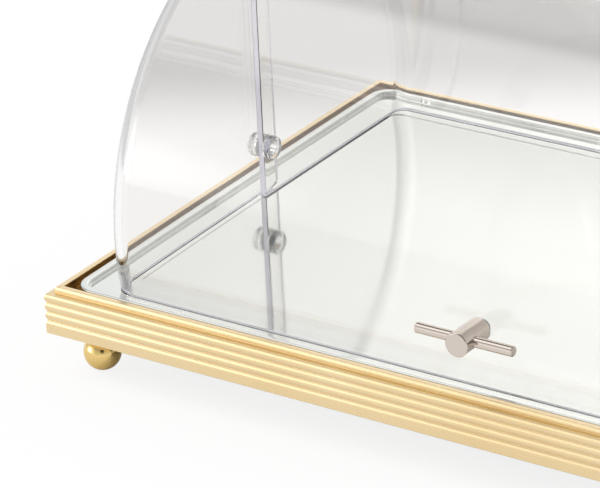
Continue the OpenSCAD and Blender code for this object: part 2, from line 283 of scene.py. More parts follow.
def lines_along(tree, place, along, width, length):
    """A noise drawn out to lines of about that width and length along one axis."""
    scale = [1 / length if axis == along else 1 / width for axis in "XYZ"]
    drawn = add_node(tree, "Mapping", {"Vector": place, "Scale": scale})
    lines = add_node(tree, "TexNoise", {"Vector": drawn.outputs["Vector"], "Scale": 1.0, "Detail": 3.0})
    return lines.outputs["Fac"]


@material("Gold anodised aluminium drawn")
def gold_anodised_aluminium(tree, place, colours, along):
    """Extruded and gold anodised aluminium: a warm satin under a clear gloss, with lines along the rail."""
    # The real drawing lines are finer. These are coarse enough to show.
    lines = lines_along(tree, place, along, 0.9 * MM, 160 * MM)
    # The dye takes a little deeper in broad patches.
    patches = add_node(tree, "TexNoise", {"Vector": place, "Scale": 1 / (55 * MM), "Detail": 2.0})
    dye = {"Factor": patches.outputs["Fac"], "A": colours.gold, "B": colours.gold_deep}
    colour = add_node(tree, "Mix", dye, data_type="RGBA")
    gloss = add_node(tree, "MapRange", {"Value": lines, **SPREAD, "To Min": 0.2, "To Max": 0.32})
    relief = add_node(tree, "Bump", {"Height": lines, "Strength": 0.12, "Distance": 0.05 * MM})
    # The sealed oxide lies over the dyed metal as a clear coat.
    metal = add_node(tree, "BsdfPrincipled", {
        "Base Color": colour.outputs["Result"], "Metallic": 1.0, "Roughness": gloss.outputs["Result"],
        "Normal": relief.outputs["Normal"], "Coat Weight": 1.0, "Coat Roughness": 0.18, "Coat IOR": 1.65,
    })
    return {"Surface": metal.outputs["BSDF"]}


@material("Polished gold plated brass")
def polished_gold_plate(tree, place, colours):
    """Turned brass, polished and gold plated: close to a mirror, with a faint haze from handling."""
    haze = add_node(tree, "TexNoise", {"Vector": place, "Scale": 1 / (6 * MM), "Detail": 4.0})
    gloss = add_node(tree, "MapRange", {
        "Value": haze.outputs["Fac"], **SPREAD, "To Min": 0.03, "To Max": 0.07,
    })
    metal = add_node(tree, "BsdfPrincipled", {
        "Base Color": colours.ball, "Metallic": 1.0, "Roughness": gloss.outputs["Result"],
    })
    return {"Surface": metal.outputs["BSDF"]}


@material("Zinc plated steel")
def zinc_plated_steel(tree, place, colours):
    """Pressed steel with a bright zinc plate: a bluish grey with fine crystals in it."""
    crystals = add_node(tree, "TexVoronoi", {"Vector": place, "Scale": 1 / (1.4 * MM)}).outputs["Distance"]
    gloss = add_node(tree, "MapRange", {"Value": crystals, "From Max": 0.8, "To Min": 0.28, "To Max": 0.45})
    relief = add_node(tree, "Bump", {"Height": crystals, "Strength": 0.1, "Distance": 0.05 * MM})
    metal = add_node(tree, "BsdfPrincipled", {
        "Base Color": colours.zinc, "Metallic": 1.0, "Roughness": gloss.outputs["Result"],
        "Normal": relief.outputs["Normal"],
    })
    return {"Surface": metal.outputs["BSDF"]}


@material("Brushed stainless steel")
def brushed_stainless_steel(tree, place, colours, along):
    """Stainless steel ground with a belt: warm grey, with fine lines along one axis."""
    # The belt's lines are finer than this on the real piece, and are drawn as coarse as they need to show.
    lines = lines_along(tree, place, along, 0.35 * MM, 12 * MM)
    gloss = add_node(tree, "MapRange", {"Value": lines, **SPREAD, "To Min": 0.05, "To Max": 0.1})
    relief = add_node(tree, "Bump", {"Height": lines, "Strength": 0.15, "Distance": 0.03 * MM})
    metal = add_node(tree, "BsdfPrincipled", {
        "Base Color": colours.steel, "Metallic": 1.0, "Roughness": gloss.outputs["Result"],
        "Normal": relief.outputs["Normal"],
    })
    return {"Surface": metal.outputs["BSDF"]}


@material("Polished stainless steel")
def polished_stainless_steel(tree, place, colours):
    """Pressed stainless steel polished to a mirror: pale grey with a trace of green and a buffing haze."""
    haze = add_node(tree, "TexNoise", {"Vector": place, "Scale": 1 / (70 * MM), "Detail": 3.0})
    gloss = add_node(tree, "MapRange", {
        "Value": haze.outputs["Fac"], **SPREAD, "To Min": 0.05, "To Max": 0.1,
    })
    metal = add_node(tree, "BsdfPrincipled", {
        "Base Color": colours.mirror, "Metallic": 1.0, "Roughness": gloss.outputs["Result"],
    })
    return {"Surface": metal.outputs["BSDF"]}


@material("Clear moulded SAN")
def clear_moulded_plastic(tree, place, colours):
    """Clear moulded SAN: bright as glass, slightly wavy where it cooled, with a violet toner at its edges."""
    # Broad waves from the mould, far shallower than the wall
    waves = add_node(tree, "TexNoise", {"Vector": place, "Scale": 1 / (45 * MM), "Detail": 0.0})
    relief = add_node(tree, "Bump", {"Height": waves.outputs["Fac"], "Strength": 1.0, "Distance": 0.06 * MM})
    plastic = add_node(tree, "BsdfPrincipled", {
        "Base Color": linear("FFFEFC"), "Roughness": 0.0, "IOR": SAN_IOR, "Transmission Weight": 1.0,
        "Normal": relief.outputs["Normal"],
    })
    toner = add_node(tree, "VolumeAbsorption", {"Color": colours.clear, "Density": 5.0})
    return {"Surface": plastic.outputs["BSDF"], "Volume": toner.outputs["Volume"]}


@material("Sawn clear edge")
def sawn_clear_edge(tree, place, colours):
    """Sawn SAN: the saw leaves a satin face, which is pale where the clear wall beside it is bright."""
    # Marks of the blade's teeth
    marks = add_node(tree, "TexNoise", {"Vector": place, "Scale": 1 / (1.5 * MM), "Detail": 2.0})
    satin = add_node(tree, "MapRange", {
        "Value": marks.outputs["Fac"], **SPREAD, "To Min": 0.4, "To Max": 0.55,
    })
    plastic = add_node(tree, "BsdfPrincipled", {
        "Base Color": colours.sawn, "Roughness": satin.outputs["Result"], "IOR": SAN_IOR,
        "Transmission Weight": 0.05,
    })
    return {"Surface": plastic.outputs["BSDF"]}


@material("Milky nylon")
def milky_nylon(tree, place, colours):
    """Unfilled moulded nylon: milky white, and light comes through it."""
    flow = add_node(tree, "TexNoise", {"Vector": place, "Scale": 1 / (3 * MM), "Detail": 2.0})
    gloss = add_node(tree, "MapRange", {
        "Value": flow.outputs["Fac"], **SPREAD, "To Min": 0.25, "To Max": 0.4,
    })
    plastic = add_node(tree, "BsdfPrincipled", {
        "Base Color": colours.nylon, "Roughness": gloss.outputs["Result"], "IOR": NYLON_IOR,
        "Transmission Weight": 0.6,
    })
    return {"Surface": plastic.outputs["BSDF"]}


# Modelling


def use(piece):
    """Selects one object alone and makes it the active one."""
    bpy.ops.object.select_all(action="DESELECT")
    piece.select_set(True)
    bpy.context.view_layer.objects.active = piece


def add(kind, **settings):
    """Adds a primitive with nothing else selected, and leaves its place in its mesh."""
    bpy.ops.object.select_all(action="DESELECT")
    getattr(bpy.ops.mesh, f"primitive_{kind}_add")(**settings)
    bpy.ops.object.transform_apply()
    return bpy.context.object


def edit():
    bpy.ops.object.mode_set(mode="EDIT")


def leave_edit():
    bpy.ops.object.mode_set(mode="OBJECT")


def pick(kind, where):
    """Selects only the verts, edges or faces of the mesh being edited whose every corner passes the test."""
    modes = {"verts": "VERT", "edges": "EDGE", "faces": "FACE"}
    bpy.ops.mesh.select_mode(type=modes[kind])
    bpy.ops.mesh.select_all(action="DESELECT")
    shape = bmesh.from_edit_mesh(bpy.context.object.data)
    for part in getattr(shape, kind):
        corners = [part] if kind == "verts" else part.verts
        if all(where(corner.co) for corner in corners):
            part.select_set(True)
    shape.select_flush_mode()
    bmesh.update_edit_mesh(bpy.context.object.data)


def trace(plane, start, runs, arc_steps=ARC_STEPS):
    """Draws an outline from one vertex and stays in edit mode.

    A run of two numbers goes straight to that point of the plane. A run of three is an arc:
    the two numbers of its centre and its angle, anticlockwise.
    """
    origin, across, up = plane

    def place(point):
        return origin + across * point.x + up * point.y

    here = Vector(start)
    outline = add("plane", size=MM, location=place(here))
    edit()
    bpy.ops.mesh.select_mode(type="VERT")
    bpy.ops.mesh.merge(type="CENTER")
    for run in runs:
        if len(run) == 2:
            there = Vector(run)
            bpy.ops.mesh.extrude_vertices_move(TRANSFORM_OT_translate={"value": place(there) - place(here)})
        else:
            centre, angle = Vector(run[:2]), run[2]
            bpy.ops.mesh.spin(steps=arc_steps, angle=angle, center=place(centre), axis=up.cross(across))
            there = centre + Matrix.Rotation(angle, 2) @ (here - centre)
        here = there
    bpy.ops.mesh.select_all(action="SELECT")
    bpy.ops.mesh.remove_doubles(threshold=NEAR)
    return outline


def face_out():
    """Selects the whole mesh being edited and turns its faces outwards."""
    bpy.ops.mesh.select_all(action="SELECT")
    bpy.ops.mesh.normals_make_consistent(inside=False)


def spin_round(base, axis, steps=LATHE_STEPS):
    """Spins the outline being edited right round an axis, and closes its seam and poles."""
    bpy.ops.mesh.select_all(action="SELECT")
    bpy.ops.mesh.spin(steps=steps, angle=math.tau, center=base, axis=axis)
    bpy.ops.mesh.select_all(action="SELECT")
    bpy.ops.mesh.remove_doubles(threshold=NEAR)
    face_out()


def turned(base, axis, start, runs, arc_steps=ARC_STEPS):
    """Turns a piece as on a lathe. Its section is given as radius and distance along the axis."""
    piece = trace((base, axis.orthogonal().normalized(), axis), start, runs, arc_steps)
    spin_round(base, axis)
    leave_edit()
    return piece


def extruded(plane, start, runs, push, arc_steps=ARC_STEPS):
    """Fills an outline and extrudes it to a solid."""
    piece = trace(plane, start, runs, arc_steps)
    bpy.ops.mesh.edge_face_add()
    bpy.ops.mesh.extrude_region_move(TRANSFORM_OT_translate={"value": push})
    face_out()
    leave_edit()
    return piece


def saw(point, normal, fill):
    """Saws the mesh being edited along a plane, and keeps what lies on the normal's side."""
    bpy.ops.mesh.select_all(action="SELECT")
    bpy.ops.mesh.bisect(plane_co=point, plane_no=normal, clear_inner=True, use_fill=fill, threshold=NEAR)


def carve(piece, cutter, operation="DIFFERENCE"):
    """Cuts a piece with another, which is then removed."""
    use(piece)
    cut = piece.modifiers.new("Cut", "BOOLEAN")
    cut.object = cutter
    cut.operation = operation
    cut.solver = "EXACT"
    bpy.ops.object.modifier_apply(modifier=cut.name)
    bpy.data.objects.remove(cutter)


def drill(piece, point, axis, radius, thickness):
    """Drills a round hole through a wall, to twice its thickness on both sides of a point."""
    turn = axis.to_track_quat("Z", "Y").to_euler()
    depth = 4 * thickness
    bit = add("cylinder", vertices=DRILL_STEPS, radius=radius, depth=depth, location=point, rotation=turn)
    carve(piece, bit)


def soften(piece, width, segments=2, angle=35):
    """Rounds the hard edges, and shades the large faces flat up to their edges."""
    use(piece)
    if width:
        edge = piece.modifiers.new("Edge", "BEVEL")
        edge.width = width
        edge.segments = segments
        edge.limit_method = "ANGLE"
        edge.angle_limit = math.radians(angle)
        edge.use_clamp_overlap = False
        bpy.ops.object.modifier_apply(modifier=edge.name)
    bpy.ops.object.shade_smooth_by_angle(angle=math.radians(angle))
    flat = piece.modifiers.new("Flat", "WEIGHTED_NORMAL")
    flat.keep_sharp = True
    bpy.ops.object.modifier_apply(modifier=flat.name)


def copy_of(piece, turn=0.0, shift=(0, 0, 0)):
    """A copy with its own mesh, turned about the upright axis and then moved."""
    use(piece)
    bpy.ops.object.duplicate(linked=False)
    twin = bpy.context.object
    twin.matrix_world = Matrix.Translation(shift) @ Matrix.Rotation(turn, 4, "Z")
    bpy.ops.object.transform_apply()
    return twin


def corner_point(side, in_x, in_y):
    """A point on the ground, by its distances in from the two outer faces of a corner."""
    return Vector((side[0] * (RAIL_HIGH.x - in_x), side[1] * (SIDE_HIGH.y - in_y), 0))


def at_corners(piece, inset, turn=0.0):
    """Replaces a piece by a copy at each corner, each turned further than the one before."""
    sides = enumerate(CORNERS.values())
    twins = [copy_of(piece, i * turn, corner_point(side, inset, inset)) for i, side in sides]
    bpy.data.objects.remove(piece)
    return twins


def join(pieces):
    """Joins pieces to one object."""
    use(pieces[0])
    for piece in pieces:
        piece.select_set(True)
    bpy.ops.object.join()
    return bpy.context.object


def hand_over(piece, name, node, finish):
    """Names a finished piece, gives it its finish and lets it stand for its CAD node."""
    if not piece.data.polygons:
        raise RuntimeError(f"{name} has no faces")
    piece.name = name
    piece.data.name = name
    piece.data.materials.clear()
    piece.data.materials.append(finish)
    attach(piece, BODY_OF[node])
    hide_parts(node)
    return piece


def flat_ring(base, axis, bore, radius, low, high):
    """Turns a washer that lies between two distances along an axis."""
    return turned(base, axis, (bore, low), [(radius, low), (radius, high), (bore, high), (bore, low)])


def cross_recess(screw, point, axis, arm, depth):
    """Sinks a tapered cross into a screw's head, down along the axis from a point on its top."""
    width, taper = 0.4 * arm, 0.55
    cutter = add("cube", size=width)
    edit()
    for way in (X, -X, Y, -Y):
        pick("faces", lambda p: p.dot(way) > width / 2 - NEAR and abs(p.z) < width)
        bpy.ops.mesh.extrude_region_move(TRANSFORM_OT_translate={"value": way * (arm - width / 2)})
    pick("verts", lambda p: p.z < 0)
    bpy.ops.transform.resize(value=(taper, taper, 1))
    leave_edit()
    turn = axis.to_track_quat("Z", "Y").to_matrix().to_4x4()
    stretch = Matrix.Diagonal((1, 1, 2 * depth / width, 1))
    cutter.matrix_world = Matrix.Translation(point) @ turn @ stretch
    use(cutter)
    bpy.ops.object.transform_apply()
    carve(screw, cutter)


def pan_screw(base, axis, radius, head, dome, levels, recess):
    """Turns a screw with a pan head, and sinks its recess.

    The levels are the distances of its tip, of the seat of its head and of its top along the axis.
    """
    tip, seat, top = levels
    screw = turned(base, axis, (0, tip), [
        (radius - TIP, tip),
        (radius, tip + TIP),
        (radius, seat),
        (head, seat),
        (head, top - dome),
        (head - dome, top - dome, QUARTER),
        (0, top),
    ])
    cross_recess(screw, base + axis * top, axis, *recess)
    soften(screw, 0)
    return screw


def reeded_rail(length, depth, sizes):
    """One rail along X, modelled at the front of a frame of that length and depth, with mitred ends."""
    spare = MM
    half = math.asin(sizes.reed_pitch / 2 / sizes.reed_radius)
    face = sizes.strip + sizes.reed_count * sizes.reed_pitch
    shelf = face - sizes.shelf_drop
    top = RAIL_HIGH.z - RAIL_LOW.z
    lip_back = sizes.lip_inset + sizes.lip_width
    edge = sizes.lip_edge
    # The plain strip runs up into the lowest reed.
    lowest, *others = [sizes.strip + (i + 0.5) * sizes.reed_pitch for i in range(sizes.reed_count)]
    reeds = [(0, lowest), (sizes.reed_radius, lowest, -half)]
    reeds += [(sizes.reed_radius, middle, -2 * half) for middle in others]
    lean, swell = sizes.lip_lean, sizes.lip_round - edge
    belly = top - edge - swell * math.sin(lean)
    lip = [
        (sizes.lip_inset, face),
        (sizes.lip_inset, belly),
        (sizes.lip_inset + sizes.lip_round, belly, -lean),
        (sizes.lip_inset + sizes.lip_round - swell * math.cos(lean), top - edge, lean - QUARTER),
        (lip_back - edge, top),
        (lip_back - edge, top - edge, -QUARTER),
        (lip_back, shelf),
    ]
    back = [
        (sizes.shelf_reach, shelf),
        (sizes.shelf_reach, shelf - sizes.flange),
        (sizes.web_back, shelf - sizes.flange),
        (sizes.web_back, sizes.flange),
        (sizes.flange_reach, sizes.flange),
        (sizes.flange_reach, 0),
        (sizes.strip_edge, 0),
        (sizes.strip_edge, sizes.strip_edge, -QUARTER),
    ]
    corner = Vector((-length / 2, -depth / 2, RAIL_LOW.z))
    plane = corner - X * spare, Y, Z
    push = X * (length + 2 * spare)
    rail = extruded(plane, (0, sizes.strip_edge), reeds + lip + back, push, REED_STEPS)
    edit()
    saw(corner, X - Y, True)
    saw(corner + X * length, -X - Y, True)
    face_out()
    leave_edit()
    row, height = sizes.screw_reach - depth / 2, RAIL_LOW.z + sizes.flange / 2
    for side in (-1, 1):
        for distance in (sizes.screw_near, sizes.screw_far):
            point = Vector((side * (length / 2 - distance), row, height))
            drill(rail, point, Z, sizes.screw_hole, sizes.flange)
    soften(rail, sizes.mitre_edge)
    return rail


class ROLLTOP_OT_reeded_rails(Operator):
    """Models the four reeded rails with their mitres, shelves and flanges."""

    bl_idname = "rolltop.reeded_rails"
    bl_label = "Reeded rails"

    def execute(self, context):
        sizes = context.scene.rolltop_frame
        length, depth = RAIL_HIGH.x - RAIL_LOW.x, SIDE_HIGH.y - SIDE_LOW.y
        front = reeded_rail(length, depth, sizes)
        back = copy_of(front, math.pi)
        end = reeded_rail(depth, length, sizes)
        right, left = copy_of(end, QUARTER), copy_of(end, -QUARTER)
        bpy.data.objects.remove(end)
        rails = {"front": (front, "X"), "back": (back, "X"), "left": (left, "Y"), "right": (right, "Y")}
        for side, (rail, along) in rails.items():
            finish = gold_anodised_aluminium(along)
            hand_over(rail, f"reeded_{side}_rail", f"rail_{side}", finish)
        return {"FINISHED"}


class ROLLTOP_OT_corner_plates(Operator):
    """Models the pressed plates that tie the rails together at the corners."""

    bl_idname = "rolltop.corner_plates"
    bl_label = "Corner plates"

    def execute(self, context):
        sizes, feet = context.scene.rolltop_frame, context.scene.rolltop_feet
        start, leg, end = PLATE_LOW.x - RAIL_LOW.x, PLATE_HIGH.x - RAIL_LOW.x, sizes.plate_end
        outline = [(leg, start), (leg, end), (end, leg), (start, leg), (start, start)]
        thickness = PLATE_HIGH.z - PLATE_LOW.z
        plate = extruded((Z * PLATE_LOW.z, X, Y), (start, start), outline, Z * thickness)
        middle = PLATE_LOW.z + thickness / 2
        for near in (sizes.screw_near, sizes.screw_far):
            for place in ((near, sizes.screw_reach), (sizes.screw_reach, near)):
                drill(plate, Vector((*place, middle)), Z, sizes.screw_hole, thickness)
        drill(plate, Vector((feet.inset, feet.inset, middle)), Z, sizes.plate_hole, thickness)
        soften(plate, PRESSED_EDGE)
        for name, twin in zip(CORNERS, at_corners(plate, 0, QUARTER)):
            hand_over(twin, f"tie_plate_{name}", f"corner_plate_{name}", zinc_plated_steel())
        return {"FINISHED"}


class ROLLTOP_OT_ball_feet(Operator):
    """Models the ball feet, each turned in one with its neck and threaded stud."""

    bl_idname = "rolltop.ball_feet"
    bl_label = "Ball feet"

    def execute(self, context):
        feet = context.scene.rolltop_feet
        centre = math.sqrt(feet.ball ** 2 - feet.flat ** 2)
        collar = feet.neck + feet.collar
        # The collar's round touches the ball from outside and the neck's side.
        reach = feet.ball + feet.collar
        rise = math.sqrt(reach ** 2 - collar ** 2)
        low = -math.acos(feet.flat / feet.ball)
        high = math.atan2(rise, collar)
        seat, top = PLATE_LOW.z, FOOT_HIGH.z
        # Grooves stand for the thread. Each is as deep as a metric one and nearly as wide as the pitch.
        groove, flank = feet.stud - 0.54 * feet.thread, 0.45 * feet.thread
        chamfer = 0.6 * MM
        thread = []
        for i in range(int((top - seat - 2 * feet.thread) / feet.thread)):
            root = seat + feet.thread * (i + 2)
            thread += [(feet.stud, root - flank), (groove, root), (feet.stud, root + flank)]
        section = [
            (feet.flat, 0),
            (0, centre, high - low),
            (collar, centre + rise, high - math.pi),
            (feet.neck, seat - SEAT),
            (feet.stud, seat - SEAT),
            *thread,
            (feet.stud, top - chamfer),
            (feet.stud - chamfer, top),
            (0, top),
        ]
        foot = turned(Vector(), Z, (0, 0), section, BALL_STEPS)
        soften(foot, 0)
        for name, twin in zip(CORNERS, at_corners(foot, feet.inset)):
            hand_over(twin, f"gold_ball_{name}", f"ball_foot_{name}", polished_gold_plate())
        return {"FINISHED"}


class ROLLTOP_OT_plate_screws(Operator):
    """Models the sixteen pan head screws that hold the corner plates."""

    bl_idname = "rolltop.plate_screws"
    bl_label = "Plate screws"

    def execute(self, context):
        sizes, feet = context.scene.rolltop_frame, context.scene.rolltop_feet
        levels = SCREW_LOW.z, PLATE_HIGH.z + SEAT, SCREW_HIGH.z
        dome, recess = 1.5 * MM, (1.9 * MM, 1.3 * MM)
        screw = pan_screw(Vector(), Z, feet.screw, feet.screw_head, dome, levels, recess)
        screws = []
        for side in CORNERS.values():
            for near in (sizes.screw_near, sizes.screw_far):
                for inward in ((near, sizes.screw_reach), (sizes.screw_reach, near)):
                    place = corner_point(side, *inward)
                    screws.append(copy_of(screw, SCREW_TURN * len(screws), place))
        bpy.data.objects.remove(screw)
        hand_over(join(screws), "pan_head_screws", "plate_screws", zinc_plated_steel())
        return {"FINISHED"}


class ROLLTOP_OT_foot_washers(Operator):
    """Models the washers under the nuts of the feet."""

    bl_idname = "rolltop.foot_washers"
    bl_label = "Foot washers"

    def execute(self, context):
        sizes, feet = context.scene.rolltop_frame, context.scene.rolltop_feet
        low, high = WASHER_LOW.z + SEAT, WASHER_HIGH.z - SEAT
        washer = flat_ring(Vector(), Z, sizes.plate_hole, feet.washer, low, high)
        soften(washer, PRESSED_EDGE)
        washers = join(at_corners(washer, feet.inset))
        hand_over(washers, "stud_washers", "foot_washers", zinc_plated_steel())
        return {"FINISHED"}


class ROLLTOP_OT_foot_nuts(Operator):
    """Models the hexagon nuts of the feet, chamfered on both sides."""

    bl_idname = "rolltop.foot_nuts"
    bl_label = "Foot nuts"

    def execute(self, context):
        sizes, feet = context.scene.rolltop_frame, context.scene.rolltop_feet
        low, high, bore = NUT_LOW.z, NUT_HIGH.z, sizes.plate_hole
        across_corners = feet.nut / math.sqrt(3)
        # The chamfers run at 30 degrees from a circle just inside the flats to beyond the corners.
        circle, beyond = 0.95 * feet.nut / 2, 1.05 * across_corners
        drop = (beyond - circle) * math.tan(math.radians(30))
        ring = turned(Vector(), Z, (bore, low), [
            (circle, low),
            (beyond, low + drop),
            (beyond, high - drop),
            (circle, high),
            (bore, high),
            (bore, low),
        ])
        nut = add(
            "cylinder", vertices=6, radius=across_corners, depth=high - low + MM,
            location=Z * (low + high) / 2, rotation=(0, 0, math.pi / 6),
        )
        carve(nut, ring, "INTERSECT")
        soften(nut, 0)
        nuts = join(at_corners(nut, feet.inset, NUT_TURN))
        hand_over(nuts, "stud_nuts", "foot_nuts", zinc_plated_steel())
        return {"FINISHED"}


def on_ring(point, inset, radius, height):
    """Whether a point lies on one of the tray's rings, a rectangle with round corners at a height."""
    away_x = abs(point.x) - TRAY_HIGH.x + inset + radius
    away_y = abs(point.y) - TRAY_HIGH.y + inset + radius
    outside = Vector((max(away_x, 0), max(away_y, 0))).length
    edge = outside + min(max(away_x, away_y), 0) - radius
    slack = 0.02 * MM
    return abs(edge) < slack and abs(point.z - height) < slack


class ROLLTOP_OT_tray(Operator):
    """Models the tray from one sheet: rim with its edge turned down, step for the cover and floor."""

    bl_idname = "rolltop.tray"
    bl_label = "Tray"

    def execute(self, context):
        sizes = context.scene.rolltop_tray
        sheet, corner, rim = sizes.sheet, sizes.corner, sizes.rim
        bend, crease, rim_edge, cut_edge = sizes.bend, sizes.crease, sizes.rim_edge, sizes.cut_edge
        top, low = TRAY_HIGH.z, TRAY_LOW.z + SEAT
        step = top - sizes.drop
        floor = step - sizes.sink
        hang, well = rim - sheet, rim + sizes.step
        inner, outer = sizes.well_corner, sizes.well_corner + sheet
        # Each ring of the sheet, from the floor out over the rim and back below: its distance inside the
        # tray's outline, its corner radius, its height and the round of its edge
        rings = [
            (well, inner, floor, crease),
            (well, inner, step, crease),
            (rim, corner - rim, step, bend),
            (rim, corner - rim, top, rim_edge),
            (0, corner, top, rim_edge),
            (0, corner, low, cut_edge),
            (sheet, corner - sheet, low, cut_edge),
            (sheet, corner - sheet, top - sheet, cut_edge),
            (hang, corner - hang, top - sheet, cut_edge),
            (hang, corner - hang, step - sheet, bend),
            (well - sheet, outer, step - sheet, crease),
            (well - sheet, outer, floor - sheet, crease),
        ]
        # The rings are bridged as a tall stack, and each is then pressed down to its height.
        stack_gap = 10 * MM
        levels = [top + stack_gap * (i + 1) for i in range(len(rings))]
        outlines = []
        for (inset, radius, _, _), level in zip(rings, levels):
            outlines.append(add("plane", size=2, location=(0, 0, level)))
            edit()
            bpy.ops.mesh.select_all(action="SELECT")
            bpy.ops.transform.resize(value=(TRAY_HIGH.x - inset, TRAY_HIGH.y - inset, 1))
            bpy.ops.mesh.bevel(offset=radius, segments=CORNER_STEPS, affect="VERTICES")
            bpy.ops.mesh.select_all(action="SELECT")
            bpy.ops.mesh.delete(type="ONLY_FACE")
            leave_edit()
        tray = join(outlines)
        edit()
        for under, over in zip(levels, levels[1:]):
            pick("edges", lambda p: under - NEAR < p.z < over + NEAR)
            bpy.ops.mesh.bridge_edge_loops()
        for end in (levels[0], levels[-1]):
            pick("edges", lambda p: abs(p.z - end) < NEAR)
            bpy.ops.mesh.edge_face_add()
        for (_, _, height, _), level in zip(rings, levels):
            pick("verts", lambda p: abs(p.z - level) < NEAR)
            bpy.ops.transform.translate(value=(0, 0, height - level))
        face_out()
        for *ring, edge in rings:
            pick("edges", lambda p: on_ring(p, *ring))
            bpy.ops.mesh.bevel(offset=edge, segments=BEND_STEPS, affect="EDGES", clamp_overlap=False)
        leave_edit()
        soften(tray, 0)
        hand_over(tray, "polished_sheet_tray", "tray", polished_stainless_steel())
        return {"FINISHED"}


def drum_cover(length, radius, blend, sizes, saw_cuts):
    """One clear cover: the section of its wall is spun round the pivot axis and sawn off along planes."""
    end, wall, shoulder = length / 2, sizes.wall, radius - blend
    # Two edges beside the handle's hole keep its cut away from the rest of the drum.
    patch = 9 * MM
    outside = [
        (-end, shoulder),
        (blend - end, shoulder, -QUARTER),
        (-patch, radius),
        (patch, radius),
        (end - blend, radius),
        (end - blend, shoulder, -QUARTER),
        (end, sizes.bore),
    ]
    inside = [
        (end - wall, sizes.bore),
        (end - wall, shoulder),
        (end - blend, shoulder, QUARTER),
        (patch, radius - wall),
        (-patch, radius - wall),
        (blend - end, radius - wall),
        (blend - end, shoulder, QUARTER),
        (wall - end, sizes.bore),
        (-end, sizes.bore),
    ]
    cover = trace((PIVOT, X, Z), (-end, sizes.bore), outside + inside, BLEND_STEPS)
    spin_round(PIVOT, X, DRUM_STEPS)
    for point, normal in saw_cuts:
        saw(point, normal, False)
    # The saw has opened the wall all round, and a bridge closes its cut.
    bpy.ops.mesh.select_mode(type="EDGE")
    bpy.ops.mesh.select_all(action="DESELECT")
    bpy.ops.mesh.select_non_manifold(
        use_wire=False, use_multi_face=False, use_non_contiguous=False, use_verts=False
    )
    bpy.ops.mesh.bridge_edge_loops()
    face_out()
    leave_edit()
    return cover


def finish_cover(cover, node, saw_cuts, sizes):
    """Rounds a cover's edges, hands it over and gives the faces that the saw has left their satin finish."""
    soften(cover, sizes.edge, segments=3, angle=40)
    cover.visible_shadow = False
    hand_over(cover, f"clear_{node}", node, clear_moulded_plastic())
    cover.data.materials.append(sawn_clear_edge())
    use(cover)
    edit()
    cover.active_material_index = 1
    for cut, normal in saw_cuts:
        pick("faces", lambda point: abs((point - cut).dot(normal)) < 5 * NEAR)
        bpy.ops.object.material_slot_assign()
    leave_edit()


class ROLLTOP_OT_rear_cover(Operator):
    """Models the rear cover, which stands on the tray's step."""

    bl_idname = "rolltop.rear_cover"
    bl_label = "Rear cover"

    def execute(self, context):
        sizes = context.scene.rolltop_cover
        length, radius = REAR_HIGH.x - REAR_LOW.x, REAR_HIGH.z - PIVOT.z
        cuts = [(Y * REAR_LOW.y, Y), (Z * (REAR_LOW.z + SEAT), Z)]
        cover = drum_cover(length, radius, sizes.blend - sizes.nesting, sizes, cuts)
        finish_cover(cover, "rear_cover", cuts, sizes)
        return {"FINISHED"}


def handle_way(handle):
    """Direction from the pivot axis out through the middle of the handle."""
    return Vector((0, -math.cos(handle.angle), math.sin(handle.angle)))


class ROLLTOP_OT_front_cover(Operator):
    """Models the front cover, which rolls back over the rear one."""

    bl_idname = "rolltop.front_cover"
    bl_label = "Front cover"

    def execute(self, context):
        sizes, handle = context.scene.rolltop_cover, context.scene.rolltop_handle
        length, radius = FRONT_HIGH.x - FRONT_LOW.x, FRONT_HIGH.z - PIVOT.z
        bottom = FRONT_LOW.z + 2 * SEAT
        cuts = [(Y * FRONT_HIGH.y, -Y), (Z * bottom, Z)]
        cover = drum_cover(length, radius, sizes.blend, sizes, cuts)
        # The end walls' lower back corners are rounded about the pivot, so that they clear the step.
        ear, spare = PIVOT.z - bottom, MM
        past, below = FRONT_HIGH.y + spare, bottom - PIVOT.z - spare
        rise = math.sqrt(ear ** 2 - past ** 2)
        outline = [(past, below), (past, -rise), (0, 0, math.atan2(rise, past) - QUARTER), (0, below)]
        relief = extruded((PIVOT - X * length, Y, Z), (0, below), outline, X * 2 * length)
        carve(cover, relief)
        way = handle_way(handle)
        drill(cover, PIVOT + way * radius, way, LOOSE * handle.screw, sizes.wall)
        finish_cover(cover, "front_cover", cuts, sizes)
        return {"FINISHED"}


